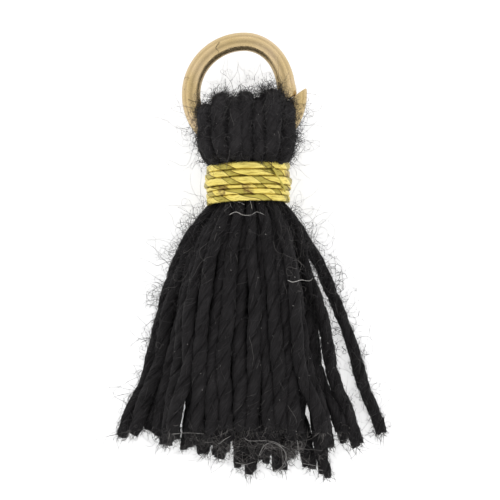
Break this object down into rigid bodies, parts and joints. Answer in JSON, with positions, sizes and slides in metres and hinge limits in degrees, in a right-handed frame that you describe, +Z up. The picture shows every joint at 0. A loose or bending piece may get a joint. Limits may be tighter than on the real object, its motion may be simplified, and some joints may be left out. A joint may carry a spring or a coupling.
{
  "type": "tassel charm",
  "caption": "Mini tassel of soft black two-ply yarn looped over a gold jump ring and bound at the neck with gold metallic thread, lying on its back.",
  "frame": {"origin": "on the surface that the charm lies on, under the middle of its outline", "axes": "+Y along the tassel from the skirt's ends to the jump ring, +X to the right, +Z up from the surface"},
  "size_m": [0.0128, 0.0212, 0.0049],
  "materials": {
    "yarn": "matte",
    "gold_wire": "satin",
    "gold_thread": "metallic"
  },
  "bodies": {
    "root": {"jump_ring": "gold_wire", "tassel": "yarn", "neck_binding": "gold_thread"}
  },
  "joints": []
}
